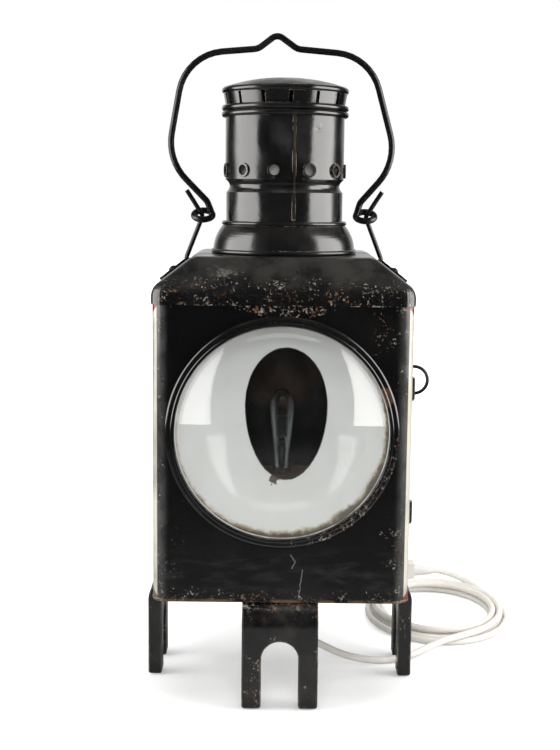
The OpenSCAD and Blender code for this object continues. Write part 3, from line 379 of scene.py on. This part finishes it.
def black_paint(
    name,
    edge_wear,
    rough,
    edge_r=0.0012,
    dust=0.35,
    dents=1.0,
    gloss=0.8,
    soft=0.0,
    zone=None,
    tint=None,
):
    """Worn black paint. Zone and tint are functions that add wear and colour at set places."""
    g = Graph(name)
    base = tint(g) if tint else BLACK
    wear = zone(g) if zone else 0.0
    coat = worn(g, base, wear, edge_wear, edge_r, rough, dust, dents, soft=soft)
    return g.surface(*coat, Specular_IOR_Level=gloss)


def day_signal(g, outer):
    """Cream sides with red triangles above and below, and black elsewhere."""
    tall = g.over(g.absolute(g.minus(g.z, SIGNAL_MID_Z)), SIGNAL_HALF_H)
    wide = g.over(g.absolute(g.y), CASING_HALF)
    red = g.step(g.add(g.minus(tall, wide), g.swing(0.02, 60, 3)), -0.004, 0.006)
    stain = g.step(g.noise(30, 6, 0.65, stretch=(1, 1, 0.35)), 0.45, 0.8)
    cream = g.mix(g.times(stain, 0.35), CREAM, STAINED_CREAM)
    red_color = g.mix(g.times(stain, 0.4), RED, STAINED_RED)
    # The red turns a dull brown at the left wall's low front corner
    muted_low_left = g.times(g.step(g.x, *MUTED_X), g.step(g.z, *MUTED_Z), g.step(g.y, *MUTED_Y))
    red_color = g.mix(g.times(muted_low_left, 0.85), red_color, MUTED_RED)
    return g.mix(outer, BLACK, g.mix(red, cream, red_color))


def scratch(g, start, end, half_w):
    """One thin mark on the front wall between two points given as x and z."""
    ax, az = start
    dx, dz = end[0] - ax, end[1] - az
    px = g.minus(g.add(g.x, g.swing(0.004, 110, 3)), ax)
    pz = g.minus(g.z, az)
    along = g.add(g.times(px, dx), g.times(pz, dz))
    t = g.math("DIVIDE", along, dx * dx + dz * dz, clamp=True)
    gap = g.length(g.minus(px, g.times(t, dx)), g.minus(pz, g.times(t, dz)))
    return g.step(g.add(gap, g.swing(half_w, 400, 3)), half_w, half_w * 0.3)


def front_marks(g):
    scored = 0.0
    for start, end, half_w in FRONT_MARKS:
        scored = g.math("MAXIMUM", scored, scratch(g, start, end, half_w))
    return scored


def casing_inside(g, base):
    """The back wall's inner face: sooty, with a round brown patch behind the bulb."""
    inside = g.times(g.step(g.y, *BACK_WALL_Y), g.turned_forward(0.5, 0.9))
    from_bulb = g.length(g.x, g.minus(g.z, BEHIND_BULB_Z))
    brown_patch = g.times(inside, g.step(g.add(from_bulb, g.times(g.noise(70, 4), 0.02)), *BEHIND_BULB_R))
    base = g.mix(inside, base, SOOT)
    return g.mix(g.times(brown_patch, 0.9), base, BEHIND_BULB_BROWN)


def casing_paint():
    g = Graph("casing_paint")
    outer = g.step(g.times(g.nx, g.x), *OUTER_SIDE_X)
    front = g.times(g.turned_forward(0.5, 0.9), g.step(g.y, *FRONT_WALL_Y))
    across = g.absolute(g.x)
    streaks = g.step(g.noise(45, 7, 0.65, stretch=(1, 1, 4)), 0.45, 0.72)
    sheen = g.times(front, streaks, g.step(g.z, *SHEEN_TOP_Z), g.step(g.z, *SHEEN_LOW_Z))
    base = g.mix(g.times(sheen, 0.6), day_signal(g, outer), SHEEN_GREY)
    base = g.mix(g.times(front_marks(g), front, 0.8), base, SCRATCH_GREY)
    base = casing_inside(g, base)
    # Painted highlight with scuffs in it: a streaky grey band down the rounded front corners, where the
    # side lamps shine
    corner = g.step(g.add(across, g.times(g.noise(90, 5), 0.002)), *CORNER_X)
    ahead = g.times(g.turned_forward(0.12, 0.4), g.step(g.y, *CORNER_Y))
    scuffed_and_highlit = g.times(corner, g.minus(1.0, outer), ahead)
    rubbed_and_highlit = g.step(g.noise(130, 6, 0.6, stretch=(1, 1, 0.5)), 0.3, 0.6, 0.35, 1.0)
    base = g.mix(g.times(scuffed_and_highlit, rubbed_and_highlit, 0.9), base, CORNER_SCUFF_AND_HIGHLIGHT)
    hem = g.times(g.step(g.z, *HEM_Z), g.step(g.noise(60, 4), 0.35, 0.6))
    base = g.mix(g.times(hem, 0.6), base, HEM_BROWN)
    above_lens = g.times(front, g.step(g.z, *ABOVE_LENS_Z), g.step(across, *ABOVE_LENS_X))
    low = g.times(g.step(g.z, *LOW_WALL_Z), front, 0.5)
    near_corners = g.times(g.step(across, *WALL_ENDS_X), g.step(g.x, *WALL_RIGHT_X, 0.2, 0.4))
    patches = g.times(front, g.step(g.noise(20, 4), 0.5, 0.64), near_corners)
    zone = g.add(g.times(above_lens, 0.9), low, patches, g.times(scuffed_and_highlit, 0.35))
    coat = worn(g, base, zone, edge_wear=0.2, edge_r=0.0015, rough=0.16, dust=0.2, bare=BARE_BROWN)
    return g.surface(*coat)


def door_paint():
    g = Graph("door_paint")
    base = day_signal(g, g.step(g.nx, 0.3, 0.5))
    return g.surface(*worn(g, base, 0.0, edge_wear=0.2, edge_r=0.0015, rough=0.2, dust=0.2))


def dab(g, x, z, half_w, half_h, ragged):
    """A ragged oval mark on the front half, given by its middle and half sizes."""
    reach = g.length(g.over(g.minus(g.x, x), half_w), g.over(g.minus(g.z, z), half_h))
    return g.times(g.step(g.add(reach, g.swing(ragged, 230, 5, 0.65)), 1.0, 0.45), g.front_half())


def chimney_tint(g):
    """Smudged black with a faint brown line down the tube's lap seam."""
    off = g.absolute(g.minus(g.x, SEAM_X))
    line = g.times(g.step(off, *SEAM_OFF), g.front_half(), g.step(g.noise(90, 4), 0.2, 0.6))
    height = g.times(g.step(g.z, *SEAM_LOW_Z), g.step(g.z, *SEAM_TOP_Z))
    smudge = g.times(g.step(g.noise(34, 6, 0.6), 0.45, 0.75), 0.6)
    coat = g.mix(smudge, BLACK, CHIMNEY_GREY)
    return g.mix(g.times(line, height, 0.3), coat, SEAM_BROWN)


def chimney_wear(g):
    """A flecked patch high on the tube's right, and a few specks elsewhere."""
    reach = g.length(g.minus(g.x, FLECKED_X), g.minus(g.z, FLECKED_Z))
    ragged = g.add(reach, g.times(g.noise(160, 4), 0.006))
    patch = g.times(g.step(ragged, *FLECKED_R), g.front_half())
    return g.add(patch, g.times(g.step(g.noise(24, 3), 0.54, 0.72), 0.35))


def roof_tint(g):
    """Black, chalky and lightened on the slopes as a painted reflection, with one scuff on the front
    slope.
    """
    # Dust with painted reflection: upward slopes lighter in patches
    chalk_and_reflection = g.times(g.step(g.nz, 0.3, 0.7), g.step(g.noise(30, 6, 0.6), 0.35, 0.7), 0.5)
    coat = g.mix(chalk_and_reflection, BLACK, ROOF_CHALK_AND_REFLECTION)
    mark = dab(g, x=-0.0385, z=0.2885, half_w=0.0105, half_h=0.0034, ragged=4.0)
    scuff = g.times(mark, g.step(g.noise(420, 5, 0.65), 0.35, 0.62))
    return g.mix(g.times(scuff, 0.7), coat, RUBBED_AND_HIGHLIGHT_GREY)


def roof_wear(g):
    """Specks in patches on the skirt."""
    return g.times(g.step(g.z, *SKIRT_Z), g.step(g.noise(34, 4), 0.34, 0.5), 0.5)


def ring_tint(g):
    """Black with one rusted spot on the ring's right."""
    mark = dab(g, x=0.0668, z=0.2105, half_w=0.0065, half_h=0.0075, ragged=2.5)
    return g.mix(g.times(mark, 0.8), BLACK, RING_RUST)


def ring_wear(g):
    """Specks on the ring's lower right."""
    return g.times(g.step(g.minus(g.x, g.z), *RING_LOW_RIGHT), 0.7)


def foot_tint(g):
    """Black, browned in patches, with worn edges lightened as a painted highlight."""
    brown = g.times(g.step(g.noise(60, 6, 0.65), 0.42, 0.7), 0.8)
    coat = g.mix(brown, BLACK, FOOT_BROWN)
    # Painted highlight along the fork's edges, mixed with wear
    rubbed_and_highlit = g.times(g.edge(FOOT_EDGE_R), g.step(g.noise(48, 5, 0.6), 0.3, 0.55))
    return g.mix(g.times(rubbed_and_highlit, 0.75), coat, RUBBED_AND_HIGHLIGHT_GREY)


def foot_wear(g):
    """Specks on the bend, heavier there to lighten it as a painted highlight, and in patches on the
    prongs.
    """
    # Painted highlight and wear: more specks on the fork's bend
    bend = g.times(g.step(g.z, *FOOT_BEND_Z), 0.5)
    return g.add(bend, g.times(g.step(g.noise(45, 4), 0.45, 0.64), 0.5))


def rusty_steel():
    g = Graph("rusty_stand")
    patch = g.step(g.noise(48, 6, 0.65), 0.35, 0.68)
    grit = g.noise(520, 4, 0.65)
    color = g.mix(patch, STAND_RUST, STAND_DARK)
    color = g.mix(g.times(g.step(grit, 0.5, 0.75), 0.6), color, STAND_GRIT)
    return g.surface(color, g.step(grit, 0.2, 0.8, 0.6, 0.9), g.bump(grit, 0.5, 0.0006))


# The bowl's enamel: tones, one of them painted light, then places and bands as above, with the lip's band
# in parts of the egg's size
ENAMEL_LOW = (0.85, 0.845, 0.825)
ENAMEL_PAINTED_LIGHT_TOP = (0.95, 0.95, 0.935)
ENAMEL_STAIN = (0.55, 0.53, 0.49)
RIM_STAIN = (0.5, 0.38, 0.22)
RIM_GRIME = (0.05, 0.034, 0.022)
LIP_BLACK = (0.012, 0.01, 0.009)
FLAKE_BROWN = (0.05, 0.03, 0.02)
BOWL_BACK = (0.14, 0.1, 0.08)
EGG_X, EGG_Z, EGG_HALF_W, EGG_UP, EGG_DOWN = 0.0027, 0.1963, 0.0275, 0.041, 0.049
EGG_LIP = (1.022, 1.012)
FLAKE_X, FLAKE_Z, FLAKE_R = -0.005, 0.1468, (0.0036, 0.003)
BOWL_PAINTED_LIGHT_Z = (0.125, 0.245)
RIM_STAIN_R, RIM_GRIME_R = (0.0686, 0.0712), (0.0696, 0.0722)
LOW_RIGHT = (-0.02, 0.09)


def enamel():
    """White enamel, painted lighter towards the bowl's top: bare at the egg-shaped opening's lip, flaked
    below it and soiled at the bowl's rim.
    """
    g = Graph("white_enamel")
    dz = g.minus(g.z, EGG_Z)
    reach = g.blend(g.math("GREATER_THAN", dz, 0.0), EGG_DOWN, EGG_UP)
    egg = g.length(g.over(g.minus(g.x, EGG_X), EGG_HALF_W), g.over(dz, reach))
    ragged = g.minus(g.noise(260, 5, 0.6), 0.5)
    lip = g.step(g.add(egg, g.times(ragged, 0.03)), *EGG_LIP)
    spot = g.length(g.minus(g.x, FLAKE_X), g.minus(g.z, FLAKE_Z))
    flake = g.step(g.add(spot, g.times(ragged, 0.012)), *FLAKE_R)
    bare = g.math("MAXIMUM", lip, flake)
    # Painted light: the enamel is made lighter towards the bowl's top
    color = g.mix(g.step(g.z, *BOWL_PAINTED_LIGHT_Z), ENAMEL_LOW, ENAMEL_PAINTED_LIGHT_TOP)
    color = g.mix(g.times(g.step(g.noise(24, 5), 0.35, 0.75), 0.18), color, ENAMEL_STAIN)
    lens_dz = g.minus(g.z, LENS_Z)
    low_right = g.step(g.minus(g.x, lens_dz), *LOW_RIGHT, 0.35, 1.0)
    soiled = g.add(g.length(g.x, lens_dz), g.swing(0.0085, 85, 7, 0.7), g.times(low_right, 0.0035))
    grime = g.mix(g.step(soiled, *RIM_GRIME_R), RIM_STAIN, RIM_GRIME)
    color = g.mix(g.times(g.step(soiled, *RIM_STAIN_R), 0.9), color, grime)
    color = g.mix(g.times(lip, 0.97), color, LIP_BLACK)
    color = g.mix(g.times(flake, 0.94), color, FLAKE_BROWN)
    color = g.mix(g.times(g.step(g.ny, 0.0, 0.2), 0.6), color, BOWL_BACK)
    height = g.add(g.times(bare, -0.6), g.times(g.noise(45, 2), 0.2))
    return g.surface(color, g.blend(bare, 0.12, 0.75), g.bump(height, 0.2, 0.0005))


# Clear glass with a film of dust, a painted highlight on the bulb's flanks, and the bulb's half widths at
# two heights
GLASS = (0.98, 0.99, 0.99)
GLASS_IOR = 1.5
GLASS_DUST_AND_HIGHLIGHT = (0.85, 0.87, 0.88, 1)
GLASS_SHADE = (0.97, 0.98, 0.98, 1)
BULB_Z, BULB_HALF_W = (0.146, 0.2), (0.0044, 0.0088)
BULB_HIGHLIGHT_Z = (0.21, 0.165)


def clear_glass(name, smeared, film):
    """Glass that lets shadow rays through, with a pale film where the film function puts it: dust on the
    lens, a painted highlight on the bulb.
    """
    g = Graph(name)
    smear = g.step(g.noise(22, 5, 0.6), 0.4, 0.8, 0.0, smeared)
    clear = g.principled(GLASS, smear, Transmission_Weight=1.0, IOR=GLASS_IOR)
    # A pale diffuse film: dust on the lens, a painted highlight on the bulb
    dust = g.node("ShaderNodeBsdfDiffuse", {"Color": GLASS_DUST_AND_HIGHLIGHT})
    solid = g.node("ShaderNodeMixShader", {0: film(g), 1: clear.outputs[0], 2: dust.outputs[0]})
    through = g.node("ShaderNodeBsdfTransparent", {"Color": GLASS_SHADE})
    shadow = g.node("ShaderNodeLightPath").outputs["Is Shadow Ray"]
    return g.finish(g.node("ShaderNodeMixShader", {0: shadow, 1: solid.outputs[0], 2: through.outputs[0]}))


def lens_film(g):
    """Thin, smeared dust over the whole lens."""
    smear = g.noise(42, 7, 0.65, stretch=(1, 1, 0.6))
    return g.step(smear, 0.38, 0.7, 0.0005, 0.0045)


def bulb_flank_highlight(g):
    """Painted highlight as pale dusty streaks on the flanks of the pear bulb, fading out towards its top.
    """
    flank = g.over(g.absolute(g.x), g.step(g.z, *BULB_Z, *BULB_HALF_W))
    band = g.times(g.step(flank, 0.35, 0.8), g.step(flank, 0.99, 0.9))
    streaks = g.step(g.noise(330, 3, 0.6, stretch=(1, 1, 0.08)), 0.3, 0.65, 0.03, 0.2)
    return g.times(band, g.step(g.z, *BULB_HIGHLIGHT_Z), streaks)


def plain_metal(name, tone, dark, rough, metallic=1.0):
    g = Graph(name)
    grime = g.step(g.noise(120, 6, 0.65), 0.38, 0.7)
    color = g.mix(g.times(grime, 0.75), tone, dark)
    roughness = g.step(grime, 0.0, 1.0, rough, min(rough + 0.35, 0.95))
    return g.surface(color, roughness, g.bump(g.noise(700, 3), 0.15, 0.0003), Metallic=metallic)


def plastic(name, tone, shade, rough):
    g = Graph(name)
    soil = g.step(g.noise(34, 6, 0.6), 0.4, 0.8)
    color = g.mix(g.times(soil, 0.45), tone, shade)
    roughness = g.step(soil, 0.0, 1.0, rough, rough + 0.15)
    return g.surface(color, roughness, g.bump(g.noise(900, 3), 0.1, 0.0002))


def dress(material, *names):
    for name in names:
        slots = nodes[name].data.materials
        slots.clear()
        slots.append(material)


# Materials and the pieces that wear them
roof_coat = black_paint(
    "roof_paint",
    edge_wear=0.16,
    edge_r=0.002,
    rough=0.22,
    dust=0.4,
    zone=roof_wear,
    tint=roof_tint,
)
chimney_coat = black_paint(
    "chimney_paint",
    edge_wear=0.3,
    edge_r=0.0009,
    rough=0.17,
    dust=0.65,
    dents=1.8,
    gloss=1.0,
    zone=chimney_wear,
    tint=chimney_tint,
)
foot_coat = black_paint(
    "foot_paint",
    edge_wear=0.3,
    edge_r=0.0018,
    rough=0.2,
    dust=0.25,
    soft=0.0016,
    zone=foot_wear,
    tint=foot_tint,
)
ring_coat = black_paint(
    "ring_paint",
    edge_wear=0.12,
    edge_r=0.001,
    rough=0.15,
    dust=0.3,
    dents=0.5,
    gloss=1.0,
    zone=ring_wear,
    tint=ring_tint,
)
wire_coat = black_paint("wire_paint", edge_wear=0.0, rough=0.3, dust=0.2, dents=0.05, soft=0.0015)
fitting_coat = black_paint("fitting_paint", edge_wear=0.25, edge_r=0.0008, rough=0.3)
zinc = plain_metal("galvanised", tone=(0.5, 0.5, 0.48), dark=(0.26, 0.24, 0.22), rough=0.6, metallic=0.0)
dull_steel = plain_metal("dull_steel", tone=(0.5, 0.49, 0.47), dark=(0.16, 0.12, 0.09), rough=0.35)
lead_wires = plain_metal("lead_wires", tone=(0.2, 0.19, 0.18), dark=(0.1, 0.09, 0.08), rough=0.4)
pin_plate = plain_metal("pin_plate", tone=(0.72, 0.71, 0.69), dark=(0.5, 0.48, 0.44), rough=0.25)
old_brass = plain_metal("old_brass", tone=(0.62, 0.45, 0.17), dark=(0.26, 0.18, 0.08), rough=0.3)
bakelite = plastic("bakelite", tone=(0.03, 0.02, 0.017), shade=(0.06, 0.05, 0.045), rough=0.25)
rubber = plastic("gasket_rubber", tone=(0.02, 0.02, 0.02), shade=(0.06, 0.055, 0.05), rough=0.6)
white_plastic = plastic("white_plastic", tone=(0.66, 0.65, 0.62), shade=(0.5, 0.48, 0.44), rough=0.35)
cord_sheath = plastic("cord_sheath", tone=(0.7, 0.675, 0.63), shade=(0.52, 0.49, 0.44), rough=0.5)

dress(casing_paint(), "casing")
dress(door_paint(), "door_panel")
dress(roof_coat, "roof")
dress(chimney_coat, "chimney_base", "chimney_tube", "chimney_cap")
dress(foot_coat, "front_fork", "rear_fork", "left_fork", "right_fork")
dress(wire_coat, "bail", "left_post", "right_post", "post_rivets", "latch_ring")
dress(ring_coat, "lens_ring")
dress(fitting_coat, "casing_hinges", "door_hinges", "door_frame", "base_plate", "fork_rivets")
dress(enamel(), "reflector")
dress(clear_glass("lens_clear", smeared=0.02, film=lens_film), "lens_glass")
dress(clear_glass("bulb_clear", smeared=0.01, film=bulb_flank_highlight), "bulb_glass")
dress(rusty_steel(), "lamp_stand")
dress(zinc, "inner_flue")
dress(dull_steel, "reflector_clips", "stand_bolts", "gland_nut", "hinge_pins")
dress(dull_steel, "latch_spindle", "latch_tongue")
dress(lead_wires, "bulb_mount")
dress(pin_plate, "plug_pins")
dress(old_brass, "bulb_cap", "latch_bush")
dress(bakelite, "lampholder")
dress(rubber, "lens_gasket")
dress(white_plastic, "cable_gland", "plug_body")
dress(cord_sheath, "inner_lead", "cord_lead", "cord_coil", "cord_tail")
cord.data.materials.append(cord_sheath)

# Studio: pale floor, two side panels, two soft lights and a white surround
WHITE = (1, 1, 1, 1)
FLOOR_HALF, FLOOR_Z = 6.0, -0.0003
FLOOR_TONE = (0.78, 0.78, 0.78)
MIRRORED_NEAR = (0.24, 0.24, 0.24)
MIRRORED_MID, MIRRORED_MID_R = (0.085, 0.085, 0.085), (0.15, 0.45)
MIRRORED_FAR, MIRRORED_FAR_R = (0.012, 0.012, 0.012), (0.4, 0.9)
PANEL_X = 0.7
PANEL_OUTLINE = [(-0.585, 0.165), (-0.386, 1.08), (0.31, 0.475), (0.31, 0.092)]
PANEL_TONE = (1, 0.99, 0.97, 1)
PANEL_FADE_Y, PANEL_BACK = (0.12, 0.28), 0.3
PANELS = ((-1, "left_panel", 4.2), (1, "right_panel", 4.9))

# Ramps of the floor's glow: two places in metres, and the strength at each
GLOW_BEHIND = (-0.07, 0.06, 0.0, 0.36)
GLOW_AROUND = (0.15, 0.72, 0.09, 0.5)
GLOW_FAR = (0.25, 0.9, 0.0, 0.42)

# Ramps of the surround: two directions, from -1 at the front to 1 at the back, and the strength at each
SURROUND_THROUGH = (0.0, 0.3, 0.0, 1.0)
SURROUND_FILL = (-1.0, 0.6, 0.18, 0.8)
SURROUND_GLOSS = (0.7, 0.97, 0.02, 0.9)


def stage_mesh(name, corners, material):
    mesh = bpy.data.meshes.new(name)
    mesh.from_pydata(corners, [], [tuple(range(len(corners)))])
    mesh.materials.append(material)
    obj = bpy.data.objects.new(name, mesh)
    scene.collection.objects.link(obj)
    return obj


def floor_material():
    """White to the camera away from the lamp, and darker in reflections."""
    g = Graph("floor_white")
    path = g.node("ShaderNodeLightPath")
    bounced = g.math("MAXIMUM", path.outputs["Is Glossy Ray"], path.outputs["Is Transmission Ray"])
    away = g.length(g.x, g.y)
    mirrored = g.mix(g.step(away, *MIRRORED_MID_R), MIRRORED_NEAR, MIRRORED_MID)
    mirrored = g.mix(g.step(away, *MIRRORED_FAR_R), mirrored, MIRRORED_FAR)
    diffuse = g.node("ShaderNodeBsdfDiffuse", {"Color": g.mix(bounced, FLOOR_TONE, mirrored)})
    seen = g.add(g.step(g.y, *GLOW_BEHIND), g.step(away, *GLOW_AROUND), g.step(away, *GLOW_FAR))
    lift = g.times(path.outputs["Is Camera Ray"], seen)
    glow = g.node("ShaderNodeEmission", {"Color": WHITE, "Strength": lift})
    return g.finish(g.node("ShaderNodeAddShader", {0: diffuse.outputs[0], 1: glow.outputs[0]}))


def panel_material(name, strength):
    """A glowing panel that dims towards its back end."""
    g = Graph(name)
    fading = g.step(g.y, *PANEL_FADE_Y, strength, PANEL_BACK)
    return g.finish(g.node("ShaderNodeEmission", {"Color": PANEL_TONE, "Strength": fading}))


def area_light(name, width, depth, watts, at, tilt):
    light = bpy.data.lights.new(name, "AREA")
    light.shape = "RECTANGLE"
    light.size = width
    light.size_y = depth
    light.energy = watts
    obj = bpy.data.objects.new(name, light)
    obj.location = at
    obj.rotation_euler = (math.radians(tilt), 0, 0)
    obj.visible_glossy = False
    scene.collection.objects.link(obj)
    return obj


quarters = ((-1, -1), (1, -1), (1, 1), (-1, 1))
stage_mesh("floor", [(x * FLOOR_HALF, y * FLOOR_HALF, FLOOR_Z) for x, y in quarters], floor_material())
for side, name, strength in PANELS:
    corners = [(side * PANEL_X, y, z) for y, z in PANEL_OUTLINE[::-side]]
    panel = stage_mesh(name, corners, panel_material(name + "_glow", strength))
    panel.visible_camera = False
area_light("top_light", width=1.2, depth=1.0, watts=10, at=(0, -0.1, 1.5), tilt=0)
front_fill = area_light("front_fill", width=0.9, depth=0.7, watts=12.5, at=(0, -1.3, 0.75), tilt=66)
front_fill.visible_transmission = False

# Surround: white to the camera, dim in mirrors except straight behind, and a fill that grows to the back
world = bpy.data.worlds.new("studio")
scene.world = world
world.use_nodes = True
world_tree = world.node_tree
world_tree.nodes.clear()


def world_node(kind, *ins, **props):
    """A node of the surround with its first inputs linked."""
    n = world_tree.nodes.new(kind)
    for key, value in props.items():
        setattr(n, key, value)
    for socket, value in zip(n.inputs, ins):
        world_tree.links.new(value, socket)
    return n


ray = world_node("ShaderNodeLightPath").outputs
looking = world_node("ShaderNodeSeparateXYZ", world_node("ShaderNodeTexCoord").outputs["Generated"])


def world_math(op, a, b):
    return world_node("ShaderNodeMath", a, b, operation=op).outputs[0]


def world_mix(fac, a, b):
    return world_node("ShaderNodeMixShader", fac, a, b).outputs[0]


def depth_ramp(low, high, to_low, to_high):
    """A value that grows from the front of the studio to its back."""
    n = world_node("ShaderNodeMapRange", looking.outputs["Y"])
    for key, value in {"From Min": low, "From Max": high, "To Min": to_low, "To Max": to_high}.items():
        n.inputs[key].default_value = value
    return n.outputs["Result"]


def background(strength=None):
    n = world_node("ShaderNodeBackground")
    n.inputs["Color"].default_value = WHITE
    n.inputs["Strength"].default_value = 1.0
    if strength:
        world_tree.links.new(strength, n.inputs["Strength"])
    return n.outputs[0]


through_glass = world_math("MULTIPLY", ray["Is Transmission Ray"], depth_ramp(*SURROUND_THROUGH))
seen_white = world_math("MAXIMUM", ray["Is Camera Ray"], through_glass)
mirrored = world_math("MAXIMUM", ray["Is Glossy Ray"], ray["Is Transmission Ray"])
fill = background(depth_ramp(*SURROUND_FILL))
gloss = background(depth_ramp(*SURROUND_GLOSS))
surround = world_mix(seen_white, world_mix(mirrored, fill, gloss), background())
world_node("ShaderNodeOutputWorld", surround)

bpy.context.view_layer.update()
